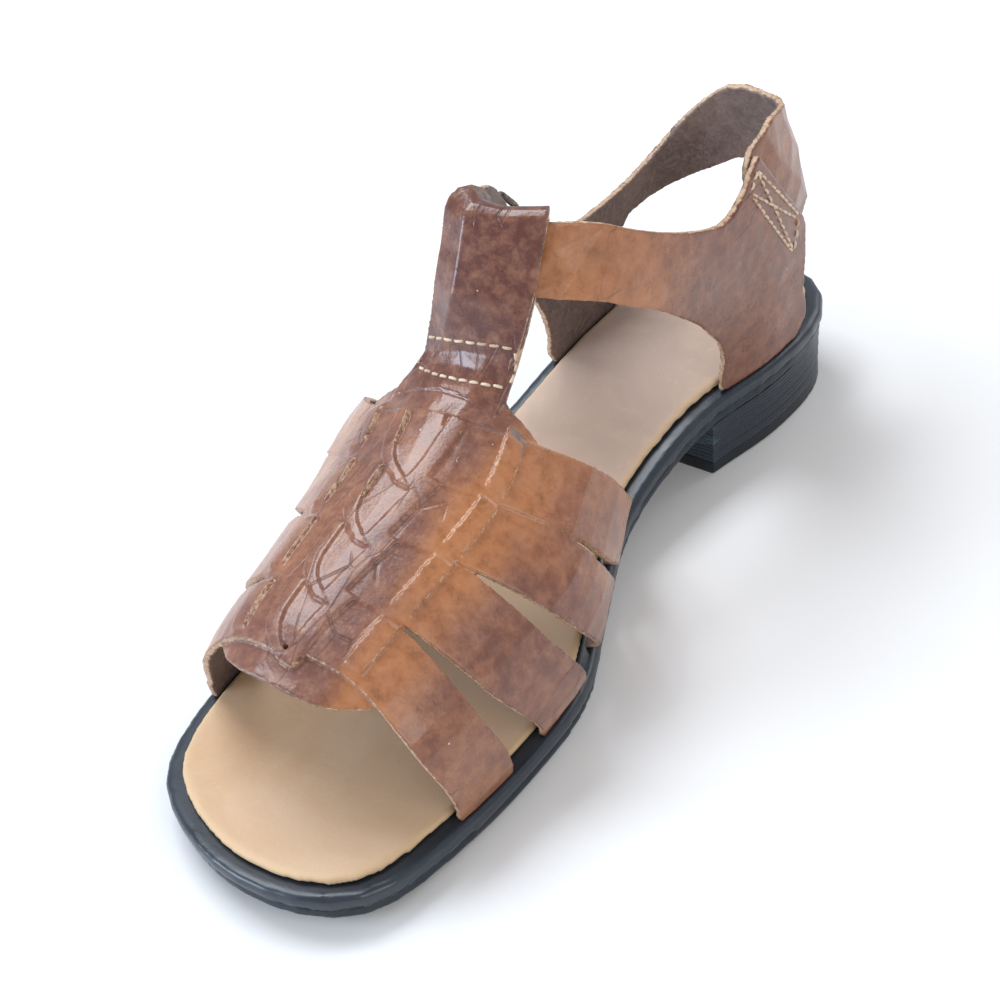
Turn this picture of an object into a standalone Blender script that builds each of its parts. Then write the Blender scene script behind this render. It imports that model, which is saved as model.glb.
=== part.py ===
"""Woven leather sandal for the right foot, with a T strap and a buckled ankle strap.

Metres, +Z up.  The toe points to -Y and the inner (medial) side of the foot to +X.
The origin lies on the floor under the middle of the shoe.  Leather pieces are cut
as flat patterns and laid over two lasts, one for the forefoot and one for the ankle.
"""

import math

import bmesh
import bpy
from mathutils import Vector, geometry

# Overall sizes
SHOE_LENGTH = 0.258
BALL_WIDTH = 0.0915
INSTEP_HEIGHT = 0.068        # last above the sole, where the straps end at the throat
ANKLE_HEIGHT = 0.090         # last above the heel seat, at the top of the ankle strap
ANKLE_WIDTH = 0.062
SEAT_HEIGHT = 0.0265         # floor to the top of the midsole under the heel
TOE_SPRING = 0.005
CLEARANCE = 0.0003           # between pieces that meet

# Sole
OUTSOLE_THICKNESS = 0.0037
MIDSOLE_THICKNESS = 0.0042
OUTSOLE_STEP = 0.0009        # how far the outsole stands in from the midsole
INSOLE_THICKNESS = 0.0024
RIM_WIDTH = 0.0048           # midsole left bare around the insole
HEEL_LENGTH = 0.067
HEEL_STEP = 0.0016           # how far the heel stands in from the midsole
HEEL_TAPER = 0.0012
HEEL_LIFTS = 4
HEEL_GROOVE = 0.0004
TOP_PIECE_THICKNESS = 0.0038
SOLE_POINTS = 72
HEEL_POINTS = 40
CAP_GRID = 0.013

# Leather of the upper
STRAP_THICKNESS = 0.0020
PLUG_THICKNESS = 0.0016
QUARTER_THICKNESS = 0.0021
FEATHER_INSET = 0.0036       # inner face of the straps, in from the edge of the midsole
STRAP_OVER_PLUG = 0.00074     # how far a strap's inner face rises where it lies on the plug
STRAP_SHINGLE = 0.0006       # how far a strap's front edge rises over the next strap
BAR_WIDTH = 0.0050
BAR_THICKNESS = 0.0014
BAR_LIFT = 0.0008            # inner face of a bar at its ends, off the last
BAR_ARCH = 0.0016            # how much higher it is where it crosses its strap
THONG_WIDTH = 0.0038
TONGUE_WIDTH = 0.0090        # flat end between the thongs of one row
TONGUE_DROP = 0.0003         # how much lower it lies than the thongs
THONG_THICKNESS = 0.0016
THONG_LIFT = 0.0021
THONG_OVER = 0.0003          # how much higher the second thong of a row lies
T_STRAP_WIDTH = 0.0315       # at the throat
T_STRAP_TOP_WIDTH = 0.0220
T_STRAP_SIDE_LEAN = 0.0068   # how far the fold lies to the inner side
T_STRAP_HEIGHTS = (0.800, 0.890, 0.985)   # shares of ANKLE_HEIGHT where it meets the ankle
T_STRAP_TUCK = 0.0120        # length of its end that is sewn to the plug
T_STRAP_BASE = 0.0005        # how far it lies over the plug at the throat
T_FLAP_ROWS = (4, 3, 2)      # rows of the riser on which the stitched end of the flap lies
T_FLAP_SEAT = 0.0006         # how far that end is let into the riser
T_FOLD_STEP = 0.0003         # flap's overlap with the riser at the fold
T_LOOP_FLARE = 0.0022        # how much wider the fold is at its outer edge
LOOP_PLAY = 0.0013           # room in the fold on each side of the ankle strap

# Buckle
BUCKLE_WIRE = 0.0010         # radius
BUCKLE_LENGTH = 0.0135       # between the middles of its two bars
BUCKLE_WIDTH = 0.0196
BUCKLE_CORNER = 0.0035
BUCKLE_TILT = 0.0020         # how far its front bar stands out from its rear bar's plane
PRONG_WIRE = 0.0008
PRONG_SLOT = 0.0013          # half width of the hole that the prong passes
HINGE_REACH = 0.0064         # from the middle of the buckle to the ends of the arm's loops
HINGE_WALL = 0.0010          # leather folded round the rear bar of the buckle

HEEL_END = SHOE_LENGTH / 2
BREAST = HEEL_END - HEEL_LENGTH
SOLE_THICKNESS = OUTSOLE_THICKNESS + MIDSOLE_THICKNESS + CLEARANCE

# Edge of the midsole, once round from the back of the heel down the inner side.
# along: share of SHOE_LENGTH from the middle, to the heel.  across: share of BALL_WIDTH.
OUTLINE = (
    # along,  across
    (0.500, 0.005),
    (0.484, 0.205),
    (0.425, 0.312),
    (0.330, 0.315),
    (0.215, 0.243),
    (0.083, 0.232),
    (-0.022, 0.335),
    (-0.128, 0.460),
    (-0.236, 0.486),
    (-0.355, 0.470),
    (-0.448, 0.418),
    (-0.492, 0.260),
    (-0.499, 0.020),
    (-0.470, -0.220),
    (-0.418, -0.400),
    (-0.322, -0.494),
    (-0.205, -0.514),
    (-0.080, -0.475),
    (0.039, -0.402),
    (0.175, -0.352),
    (0.329, -0.340),
    (0.425, -0.300),
    (0.480, -0.175),
)

# Forefoot last.  along: share of SHOE_LENGTH from the middle.  height: share of
# INSTEP_HEIGHT.  ridge: share of BALL_WIDTH to the inner side.  bulges: shares of
# BALL_WIDTH by which the sides stand out past the feather edge.
LAST_SECTIONS = (
    # along, height, ridge, inner bulge, outer bulge
    (-0.400, 0.580, -0.010, 0.020, -0.055),
    (-0.330, 0.705, 0.000, 0.030, -0.045),
    (-0.235, 0.815, 0.010, 0.050, -0.020),
    (-0.150, 0.910, 0.016, 0.080, 0.035),
    (-0.060, 1.000, 0.020, 0.095, 0.130),
    (0.010, 1.070, 0.022, 0.100, 0.140),
    (0.110, 1.150, 0.024, 0.090, 0.080),
)

# Half of a cross section of the forefoot last, from the feather edge to the ridge.
# out: share of the way from ridge to feather.  up: share of the height.
INNER_SHAPE = (
    # out,  up,    share of the bulge
    (1.000, 0.000, 0.00),
    (1.000, 0.170, 0.70),
    (0.985, 0.400, 1.00),
    (0.870, 0.640, 0.85),
    (0.610, 0.845, 0.45),
    (0.300, 0.960, 0.15),
    (0.000, 1.000, 0.00),
)
OUTER_SHAPE = (
    # out,  up,    share of the bulge
    (1.000, 0.000, 0.00),
    (1.000, 0.100, 0.05),
    (0.975, 0.200, 0.60),
    (0.920, 0.370, 1.00),
    (0.770, 0.610, 0.85),
    (0.530, 0.820, 0.45),
    (0.270, 0.950, 0.15),
    (0.000, 1.000, 0.00),
)

# The four straps of one side, rear one first.  Each number is a share of SHOE_LENGTH
# from the middle of the shoe: where the strap's rear and front edges lie at the
# middle of the plug, at the bar, halfway down the side and at the sole.
STRAPS = (
    # rear: middle, bar, side, sole     front: middle, bar, side, sole
    (-0.088, -0.068, 0.002, 0.084, -0.158, -0.138, -0.079, 0.014),
    (-0.155, -0.134, -0.086, -0.012, -0.226, -0.208, -0.163, -0.083),
    (-0.223, -0.206, -0.187, -0.124, -0.292, -0.284, -0.267, -0.203),
    (-0.289, -0.286, -0.289, -0.256, -0.354, -0.350, -0.359, -0.333),
)
STRAP_PLACES = (0.488, 0.380, 0.200, 0.000)   # share of the way across for those columns
STRAP_STAGGER = 0.004        # how much shorter every second strap is, in the same share
OUTER_SHIFT = -0.008         # how much further back the outer straps lie at the bars
OUTER_SOLE_SHIFT = 0.016     # and at the sole
BAR_PLACE = 0.380            # share of the way from one feather edge to the other

# The plug: the panel in the middle that the straps are woven through, from the foot of
# the T strap to the lip over the toes.  along: share of SHOE_LENGTH.  half: half width
# as a share of the way across.  tip: how far the middle stands forward of the edges.
PLUG = (
    # along,  half,  tip
    (-0.046, 0.086, 0.000),
    (-0.050, 0.104, 0.000),
    (-0.054, 0.140, 0.000),
    (-0.062, 0.156, 0.000),
    (-0.100, 0.142, 0.000),
    (-0.150, 0.138, 0.000),
    (-0.200, 0.138, 0.000),
    (-0.250, 0.138, 0.000),
    (-0.300, 0.142, 0.000),
    (-0.336, 0.160, 0.004),
    (-0.350, 0.180, 0.016),
    (-0.358, 0.184, 0.031),
)

# Thongs of the braid, for each row between two straps' edges.  down: share of the row,
# from its rear edge.  place: share of the way across.
THONGS = (
    ((-0.02, 0.461), (0.50, 0.473), (0.98, 0.481), (1.22, 0.491)),
    ((0.06, 0.548), (0.60, 0.549), (0.92, 0.534), (1.20, 0.493)),
)
TONGUE = ((0.02, 0.505), (0.50, 0.507), (0.98, 0.508))

# Ankle last: level cross sections.  up: share of ANKLE_HEIGHT above the heel seat.
# front, back: shares of SHOE_LENGTH from the ankle's axis.  inner, outer: shares of
# ANKLE_WIDTH.
ANKLE_AXIS = (0.001, 0.062)
ANKLE_SECTIONS = (
    # up,  front, back,  inner, outer
    (0.00, 0.320, 0.236, 0.440, 0.465),
    (0.25, 0.310, 0.238, 0.460, 0.465),
    (0.50, 0.286, 0.230, 0.475, 0.455),
    (0.75, 0.247, 0.212, 0.445, 0.430),
    (1.00, 0.200, 0.195, 0.400, 0.380),
    (1.10, 0.181, 0.190, 0.385, 0.370),
)
ANKLE_SQUARENESS = 3.0       # exponent of the level sections; 2 is an ellipse
ANKLE_SLANT = 1.5            # the same where the outer side runs back to the buckle
ANKLE_FLAT = (-9.0, 18.0, 0.0055)   # degrees round, half run and rise where it is held flat
ANKLE_BLEND = 0.75           # share of the height over which they leave the feather edge

# Patterns on the ankle last.  round: degrees from the front, to the inner side.
# up: share of ANKLE_HEIGHT above the heel seat.
INNER_QUARTER_TOP = (
    # round, up
    (-97.0, 0.425),
    (-92.0, 0.485),
    (-80.5, 0.563),
    (-69.0, 0.615),
    (-56.0, 0.690),
    (-38.0, 0.830),
    (-18.0, 0.945),
    (0.0, 0.985),
    (18.0, 0.981),
    (28.0, 0.944),
    (34.0, 0.900),
    (47.0, 0.819),
    (64.0, 0.745),
    (88.0, 0.677),
    (103.0, 0.672),
    (115.0, 0.703),
    (124.0, 0.742),
    (130.0, 0.762),
)
INNER_QUARTER_BOTTOM = (
    (140.0, 0.580),
    (150.0, 0.390),
    (149.5, 0.290),
    (148.0, 0.180),
    (146.0, 0.000),
    (106.0, 0.000),
    (107.0, 0.100),
    (101.0, 0.197),
    (85.0, 0.292),
    (59.0, 0.452),
    (43.0, 0.589),
    (33.0, 0.677),
    (26.0, 0.744),
    (14.0, 0.800),
    (0.0, 0.808),
    (-12.0, 0.775),
    (-24.0, 0.700),
    (-35.0, 0.632),
    (-47.0, 0.528),
    (-60.0, 0.445),
    (-84.0, 0.372),
    (-93.0, 0.370),
)
OUTER_QUARTER_TOP = (
    (-69.0, 0.615),
    (-82.0, 0.555),
    (-98.0, 0.470),
    (-115.0, 0.410),
    (-130.0, 0.395),
    (-145.0, 0.411),
    (-154.0, 0.467),
    (-163.0, 0.567),
    (-173.0, 0.673),
    (-181.0, 0.722),
    (-191.0, 0.720),
    (-204.0, 0.765),
    (-216.0, 0.812),
    (-226.0, 0.785),
    (-234.0, 0.735),
)
OUTER_QUARTER_BOTTOM = (
    (-237.0, 0.650),
    (-226.0, 0.480),
    (-215.0, 0.320),
    (-205.0, 0.360),
    (-195.0, 0.400),
    (-180.0, 0.425),
    (-169.0, 0.364),
    (-161.0, 0.336),
    (-153.0, 0.315),
    (-142.0, 0.285),
    (-136.0, 0.180),
    (-133.0, 0.000),
    (-84.0, 0.000),
    (-83.0, 0.110),
    (-78.0, 0.220),
    (-70.0, 0.320),
    (-60.0, 0.410),
    (-47.0, 0.495),
)
INNER_END = ((-230.0, 0.762), (-210.0, 0.390))   # end of the inner quarter over the band
UNDERLAP_RUN = 11.0          # degrees over which the band dips to pass under that end
PATTERN_STEP = 0.005


def smooth(share):
    """0 to 1 with level ends."""
    share = min(max(share, 0.0), 1.0)
    return share * share * (3.0 - 2.0 * share)


def spline_point(before, start, end, after, share):
    """A point of a Catmull-Rom spline between start and end."""
    return tuple(
        0.5 * (2 * b + (c - a) * share + (2 * a - 5 * b + 4 * c - d) * share ** 2
               + (3 * b - a - 3 * c + d) * share ** 3)
        for a, b, c, d in zip(before, start, end, after)
    )


def open_spline(points, steps):
    """A smooth open line through the points, steps to each span."""
    first = tuple(2 * a - b for a, b in zip(points[0], points[1]))
    last = tuple(2 * a - b for a, b in zip(points[-1], points[-2]))
    held = [first, *points, last]
    line = [
        spline_point(*held[i:i + 4], step / steps)
        for i in range(len(points) - 1)
        for step in range(steps)
    ]
    return line + [tuple(points[-1])]


def closed_spline(points, steps):
    """A smooth closed line through the points, steps to each span."""
    count = len(points)
    return [
        spline_point(*(points[(i + k) % count] for k in (-1, 0, 1, 2)), step / steps)
        for i in range(count)
        for step in range(steps)
    ]


def table_value(rows, place, column):
    """A column of a table of rows, smoothly between its first column's values."""
    for i in range(len(rows) - 1):
        if place <= rows[i + 1][0] or i == len(rows) - 2:
            break
    held = [rows[max(i - 1, 0)], rows[i], rows[i + 1], rows[min(i + 2, len(rows) - 1)]]
    span = rows[i + 1][0] - rows[i][0]
    share = min(max((place - rows[i][0]) / span, 0.0), 1.0)
    values = [(row[column],) for row in held]
    return spline_point(*values, share)[0]


def resampled(line, count, closed=True):
    """The line again, as count points evenly apart."""
    points = [Vector(p) for p in line] + ([Vector(line[0])] if closed else [])
    reach = [0.0]
    for a, b in zip(points, points[1:]):
        reach.append(reach[-1] + (b - a).length)
    steps = count if closed else count - 1
    out = []
    span = 0
    for i in range(count):
        goal = reach[-1] * i / steps
        while span < len(points) - 2 and reach[span + 1] < goal:
            span += 1
        width = reach[span + 1] - reach[span]
        share = (goal - reach[span]) / width if width else 0.0
        out.append(points[span].lerp(points[span + 1], min(share, 1.0)))
    return out


def inset_line(line, inset):
    """A closed line moved inwards by inset.  The line runs clockwise seen from above."""
    out = []
    for i, point in enumerate(line):
        along = Vector(line[(i + 1) % len(line)]) - Vector(line[i - 1])
        inward = Vector((along.y, -along.x)).normalized()
        out.append(Vector(point) + inward * inset)
    return out


def sole_outline():
    """The midsole's edge seen from above, as a fine closed line, clockwise from the heel."""
    points = [(across * BALL_WIDTH, along * SHOE_LENGTH) for along, across in OUTLINE]
    return [Vector(p) for p in closed_spline(points, 10)]


EDGE = sole_outline()
FEATHER = inset_line(EDGE, FEATHER_INSET)


def edge_across(line, along, inner):
    """How far across a closed line lies on its inner or outer side, at a place along."""
    best = None
    for a, b in zip(line, line[1:] + line[:1]):
        if (a.y - along) * (b.y - along) <= 0.0 and a.y != b.y:
            across = a.x + (b.x - a.x) * (along - a.y) / (b.y - a.y)
            if best is None or (across > best) == inner:
                best = across
    return best


def underside(along):
    """Height of the outsole's lower face: flat under the ball, raised at toe and heel."""
    share = (HEEL_END - along) / SHOE_LENGTH
    toe = TOE_SPRING * max(0.0, (share - 0.72) / 0.28) ** 2
    heel = (SEAT_HEIGHT - SOLE_THICKNESS) * smooth((0.62 - share) / 0.40)
    return toe + heel


def midsole_base(along):
    return underside(along) + OUTSOLE_THICKNESS + CLEARANCE


def sole_top(along):
    """Height of the midsole's upper face, on which insole and upper stand."""
    return underside(along) + SOLE_THICKNESS


def new_object(name, mesh, material):
    mesh.materials.append(material)
    made = bpy.data.objects.new(name, mesh)
    bpy.context.scene.collection.objects.link(made)
    return made


def material(name, colour, roughness, metallic=0.0):
    made = bpy.data.materials.new(name)
    made.use_nodes = True
    shader = made.node_tree.nodes["Principled BSDF"]
    shader.inputs["Base Color"].default_value = (*colour, 1.0)
    shader.inputs["Roughness"].default_value = roughness
    shader.inputs["Metallic"].default_value = metallic
    return made


def finished_mesh(name, bm, smooth_shading=True):
    """The bmesh as a mesh, with its faces turned outwards."""
    bmesh.ops.remove_doubles(bm, verts=bm.verts, dist=1e-6)
    bmesh.ops.recalc_face_normals(bm, faces=bm.faces)
    mesh = bpy.data.meshes.new(name)
    bm.to_mesh(mesh)
    bm.free()
    if smooth_shading:
        mesh.shade_smooth()
        mesh.set_sharp_from_angle(angle=math.radians(35))
    return mesh


def inside(point, loop):
    """Whether a point lies within a closed flat loop."""
    found = False
    for a, b in zip(loop, loop[1:] + loop[:1]):
        if (a.y > point.y) != (b.y > point.y):
            if point.x < a.x + (b.x - a.x) * (point.y - a.y) / (b.y - a.y):
                found = not found
    return found


def near_loop(point, loop, distance):
    """Whether a point lies within a distance of a closed loop's line."""
    for a, b in zip(loop, loop[1:] + loop[:1]):
        close, share = geometry.intersect_point_line(point, a, b)
        share = min(max(share, 0.0), 1.0)
        if (point - a.lerp(b, share)).length < distance:
            return True
    return False


def filled_loop(loop, spacing):
    """Flat triangles within a closed loop, with points inside it about spacing apart."""
    left, right = min(p.x for p in loop), max(p.x for p in loop)
    low, high = min(p.y for p in loop), max(p.y for p in loop)
    points = list(loop)
    rows = int((high - low) / spacing)
    columns = int((right - left) / spacing)
    for row in range(1, rows + 1):
        for column in range(1, columns + 1):
            stagger = 0.5 * (row % 2)
            point = Vector((left + spacing * (column - stagger), low + spacing * row))
            if inside(point, loop) and not near_loop(point, loop, 0.55 * spacing):
                points.append(point)
    edges = [(i, (i + 1) % len(loop)) for i in range(len(loop))]
    made = geometry.delaunay_2d_cdt(points, edges, [], 1, 1e-7)
    return made[0], made[2], len(loop)


def plate(name, rings, spacing):
    """A closed solid from rings that rise from bottom to top, with filled end faces.

    Each ring is (flat loop, function that gives the height at a place along).
    """
    bm = bmesh.new()
    walls = []
    for loop, height in rings:
        walls.append([bm.verts.new((p.x, p.y, height(p.y))) for p in loop])
    for lower, upper in zip(walls, walls[1:]):
        for i in range(len(lower)):
            j = (i + 1) % len(lower)
            bm.faces.new((lower[i], lower[j], upper[j], upper[i]))
    for (loop, height), wall in ((rings[0], walls[0]), (rings[-1], walls[-1])):
        points, faces, count = filled_loop(loop, spacing)
        verts = wall + [bm.verts.new((p.x, p.y, height(p.y))) for p in points[count:]]
        for face in faces:
            bm.faces.new([verts[i] for i in face])
    return finished_mesh(name, bm)


def raised(height, rise):
    """A height function moved up by rise."""
    return lambda along: height(along) + rise


def sole_ring(inset):
    return inset_line(resampled(EDGE, SOLE_POINTS), inset)


def heel_ring(inset):
    """The heel's outline: the sole's edge behind the breast, closed by a straight line."""
    line = inset_line(EDGE, inset)
    start = next(i for i, p in enumerate(line) if p.y < BREAST)
    end = max(i for i, p in enumerate(line) if p.y < BREAST)
    round_part = [
        Vector((edge_across(line, BREAST, False), BREAST)),
        *line[end + 1:],
        *line[:start],
        Vector((edge_across(line, BREAST, True), BREAST)),
    ]
    back = resampled(round_part, HEEL_POINTS, closed=False)
    front = resampled([back[-1], back[0]], 7, closed=False)
    return back + front[1:-1]


def make_outsole():
    top = raised(underside, OUTSOLE_THICKNESS)
    rings = (
        (sole_ring(OUTSOLE_STEP + 0.0010), underside),
        (sole_ring(OUTSOLE_STEP), raised(underside, 0.0008)),
        (sole_ring(OUTSOLE_STEP), top),
    )
    return plate("outsole", rings, CAP_GRID)


def make_midsole():
    rings = (
        (sole_ring(0.0), midsole_base),
        (sole_ring(0.0), raised(sole_top, -0.0014)),
        (sole_ring(0.0005), raised(sole_top, -0.0004)),
        (sole_ring(0.0014), sole_top),
    )
    return plate("midsole", rings, CAP_GRID)


def make_insole():
    base = raised(sole_top, CLEARANCE)
    rings = (
        (sole_ring(RIM_WIDTH), base),
        (sole_ring(RIM_WIDTH), raised(base, INSOLE_THICKNESS - 0.0008)),
        (sole_ring(RIM_WIDTH + 0.0009), raised(base, INSOLE_THICKNESS)),
    )
    return plate("insole", rings, CAP_GRID)


def make_heel_block():
    """The stacked heel: lifts with a fine groove between each and the next."""
    base = TOP_PIECE_THICKNESS + CLEARANCE
    heel_top = raised(underside, -CLEARANCE)

    def level(share):
        return lambda along: base + (heel_top(along) - base) * share

    rings = []
    for i in range(HEEL_LIFTS):
        low, high = i / HEEL_LIFTS, (i + 1) / HEEL_LIFTS
        inset = HEEL_STEP + HEEL_TAPER * (1.0 - 0.5 * (low + high))
        if i:
            rings.append((heel_ring(inset + HEEL_GROOVE), level(low)))
        rings.append((heel_ring(inset), level(low + (0.10 / HEEL_LIFTS if i else 0.0))))
        rings.append((heel_ring(inset), level(high - (0.10 / HEEL_LIFTS if i < HEEL_LIFTS - 1 else 0.0))))
    return plate("heel_block", rings, CAP_GRID)


def make_heel_top_piece():
    rings = (
        (heel_ring(HEEL_STEP + HEEL_TAPER + 0.0008), lambda along: 0.0),
        (heel_ring(HEEL_STEP + HEEL_TAPER), lambda along: 0.0006),
        (heel_ring(HEEL_STEP + HEEL_TAPER), lambda along: TOP_PIECE_THICKNESS),
    )
    return plate("heel_top_piece", rings, CAP_GRID)


def last_section(along):
    """The forefoot last's outline at a place along, from inner to outer feather edge."""
    place = along / SHOE_LENGTH
    height = INSTEP_HEIGHT * table_value(LAST_SECTIONS, place, 1)
    ridge = BALL_WIDTH * table_value(LAST_SECTIONS, place, 2)
    base = sole_top(along) + CLEARANCE
    halves = []
    for inner, column, side, shape in ((True, 3, 1.0, INNER_SHAPE), (False, 4, -1.0, OUTER_SHAPE)):
        feather = edge_across(FEATHER, along, inner)
        bulge = side * BALL_WIDTH * table_value(LAST_SECTIONS, place, column)
        halves.append([
            (ridge + (feather - ridge) * out + bulge * swell, base + height * up)
            for out, up, swell in shape
        ])
    return open_spline(halves[0] + halves[1][-2::-1], 6)


def last_point(along, place):
    """A point of the forefoot last.  place runs from 0, the inner feather edge, to 1."""
    key = round(along, 5)
    if key not in SECTIONS:
        SECTIONS[key] = resampled(last_section(key), 161, closed=False)
    line = SECTIONS[key]
    reach = min(max(place, 0.0), 1.0) * (len(line) - 1)
    start = min(int(reach), len(line) - 2)
    point = line[start].lerp(line[start + 1], reach - start)
    return Vector((point.x, along, point.y))


SECTIONS = {}


def surface_normal(surface, u, v, du, dv):
    """The outward normal of a surface, found from points close by."""
    across = surface(u, v + dv) - surface(u, v - dv)
    along = surface(u + du, v) - surface(u - du, v)
    return across.cross(along).normalized()


def last_normal(along, place):
    return -surface_normal(last_point, along, place, 0.001, 0.01)


def sheet_solid(bm, inner, outer):
    """A closed sheet between two grids of points, rows along and columns across."""
    grids = [[[bm.verts.new(p) for p in row] for row in grid] for grid in (inner, outer)]
    rows, columns = len(inner), len(inner[0])
    for below, grid in enumerate(grids):
        for i in range(rows - 1):
            for j in range(columns - 1):
                quad = (grid[i][j], grid[i][j + 1], grid[i + 1][j + 1], grid[i + 1][j])
                bm.faces.new(quad if below else quad[::-1])
    low, high = grids
    border = (
        [(i, 0) for i in range(rows)]
        + [(rows - 1, j) for j in range(1, columns)]
        + [(i, columns - 1) for i in range(rows - 2, -1, -1)]
        + [(0, j) for j in range(columns - 2, 0, -1)]
    )
    for (a, b), (c, d) in zip(border, border[1:] + border[:1]):
        bm.faces.new((low[a][b], low[c][d], high[c][d], high[a][b]))


def draped_sheet(name, places, lift, thickness):
    """A sheet on the forefoot last.  places is a grid of (along, place); lift is a
    function of both that gives the inner face's distance from the last."""
    inner, outer = [], []
    for row in places:
        points = [last_point(*spot) for spot in row]
        normals = [last_normal(*spot) for spot in row]
        lifts = [lift(*spot) for spot in row]
        inner.append([p + n * h for p, n, h in zip(points, normals, lifts)])
        outer.append([p + n * (h + thickness) for p, n, h in zip(points, normals, lifts)])
    for grid in (inner, outer):
        for row, row_places in zip(grid, places):
            for point, (along, place) in zip(row, row_places):
                if place in (0.0, 1.0):
                    point.z = sole_top(point.y) + CLEARANCE
    bm = bmesh.new()
    sheet_solid(bm, inner, outer)
    return finished_mesh(name, bm)


def through_three(start, middle, end, middle_share, share):
    """A curve through three values, the middle one at middle_share."""
    a, b = share - middle_share, share - 1.0
    return (
        start * a * b / (-middle_share * -1.0)
        + middle * share * b / (middle_share * (middle_share - 1.0))
        + end * share * a / (1.0 - middle_share)
    )


def strap_edge(edge, inner, place):
    """Where an edge of a strap lies along the shoe, for a share of the way across."""
    shifts = (OUTER_SHIFT, OUTER_SHIFT, 0.5 * (OUTER_SHIFT + OUTER_SOLE_SHIFT), OUTER_SOLE_SHIFT)
    rows = [
        (spot, SHOE_LENGTH * (value + (0.0 if inner else shift)))
        for spot, value, shift in zip(STRAP_PLACES, edge, shifts)
    ][::-1]
    return table_value(rows, place, 1)


def strap_mesh(name, row, inner, end):
    """One side strap, from the sole up over the plug to the braid."""
    steps, columns = 14, 4
    places = []
    for i in range(steps):
        place = end * i / (steps - 1)
        rear = strap_edge(row[:4], inner, place)
        front = strap_edge(row[4:], inner, place)
        places.append([
            (rear + (front - rear) * j / (columns - 1), place if inner else 1.0 - place)
            for j in range(columns)
        ])

    def lift(along, place):
        near = min(place, 1.0 - place)
        rear = strap_edge(row[:4], inner, near)
        front = strap_edge(row[4:], inner, near)
        share = (along - rear) / (front - rear)
        return smooth((near - 0.16) / 0.10) * (STRAP_OVER_PLUG + STRAP_SHINGLE * share)

    return draped_sheet(name, places, lift, STRAP_THICKNESS)


def girth_share(along, width):
    """A width across the last as a share of its girth at a place along."""
    line = [last_point(along, i / 40) for i in range(41)]
    return width / sum((b - a).length for a, b in zip(line, line[1:]))


def plug_mesh():
    """The middle panel that the straps are woven through, with its lip over the toes."""
    columns = 9
    places = []
    for along, half, tip in open_spline(PLUG, 2):
        row = []
        for j in range(columns):
            side = 2.0 * j / (columns - 1) - 1.0
            ahead = tip * (1.0 - abs(side) ** 3)
            row.append((SHOE_LENGTH * (along - ahead), 0.5 + side * half))
        places.append(row)
    return draped_sheet("plug", places, lambda along, place: 0.0, PLUG_THICKNESS)


def bar_mesh(name, row, inner):
    """The narrow bar of the plug under which one strap passes."""
    rear = strap_edge(row[:4], inner, BAR_PLACE) + 0.0010
    front = strap_edge(row[4:], inner, BAR_PLACE) + 0.0005
    steps = 8
    places = []
    for i in range(steps):
        along = rear + (front - rear) * i / (steps - 1)
        half = 0.5 * girth_share(along, BAR_WIDTH)
        middle = BAR_PLACE if inner else 1.0 - BAR_PLACE
        places.append([(along, middle - half), (along, middle), (along, middle + half)])

    def lift(along, place):
        share = (along - rear) / (front - rear)
        arch = smooth(min(share, 1.0 - share) / 0.18) * (1.0 + 0.25 * share)
        return BAR_LIFT + BAR_ARCH * arch

    return draped_sheet(name, places, lift, BAR_THICKNESS)


def thong_mesh(name, row, spots, width, lift_off):
    """One flat thong of the braid through spots given for a row of the weave."""
    rear = SHOE_LENGTH * row[0]
    front = SHOE_LENGTH * row[4]
    line = open_spline([(rear + (front - rear) * down, place) for down, place in spots], 2)
    places = []
    for i, (along, place) in enumerate(line):
        half = 0.5 * girth_share(along, width)
        places.append([(along, place - half), (along, place), (along, place + half)])

    def lift(along, place):
        return THONG_LIFT + lift_off

    return draped_sheet(name, places, lift, THONG_THICKNESS)


def braid_meshes():
    """Two thongs and a flat tongue for each row of the weave."""
    made = []
    for i, row in enumerate(STRAPS):
        made.append(thong_mesh(f"tongue_{i}", row, TONGUE, TONGUE_WIDTH, -TONGUE_DROP))
        for j, spots in enumerate(THONGS):
            made.append(thong_mesh(f"thong_{i}_{j}", row, spots, THONG_WIDTH, THONG_OVER * j))
    return made


def place_for(across, value):
    """Where a falling function of 0 to 1 takes a value."""
    low, high = 0.0, 1.0
    for step in range(24):
        middle = 0.5 * (low + high)
        low, high = (middle, high) if across(middle) > value else (low, middle)
    return 0.5 * (low + high)


def on_ankle(across, up, lift):
    """A point off the front of the ankle last, given how far across it lies, and the
    outward normal there.  up is a share of the last's height."""
    share = place_for(lambda k: ankle_point(75.0 - 150.0 * k, up * ANKLE_HEIGHT).x, across)
    around = 75.0 - 150.0 * share
    normal = ankle_normal(around, up * ANKLE_HEIGHT)
    return ankle_point(around, up * ANKLE_HEIGHT) + normal * lift, normal


def on_vamp(across, along, lift):
    """A point off the top of the forefoot last, given how far across it lies."""
    place = place_for(lambda k: last_point(along, k).x, across)
    return last_point(along, place) + last_normal(along, place) * lift


def thick_sheet(name, middle, thickness):
    """A closed sheet of even thickness about a grid of points."""
    rows, columns = len(middle), len(middle[0])
    layers = ([], [])
    for i in range(rows):
        inner, outer = [], []
        for j in range(columns):
            along = middle[min(i + 1, rows - 1)][j] - middle[max(i - 1, 0)][j]
            across = middle[i][min(j + 1, columns - 1)] - middle[i][max(j - 1, 0)]
            normal = along.cross(across).normalized() * 0.5 * thickness
            inner.append(middle[i][j] - normal)
            outer.append(middle[i][j] + normal)
        layers[0].append(inner)
        layers[1].append(outer)
    bm = bmesh.new()
    sheet_solid(bm, *layers)
    return finished_mesh(name, bm)


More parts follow.
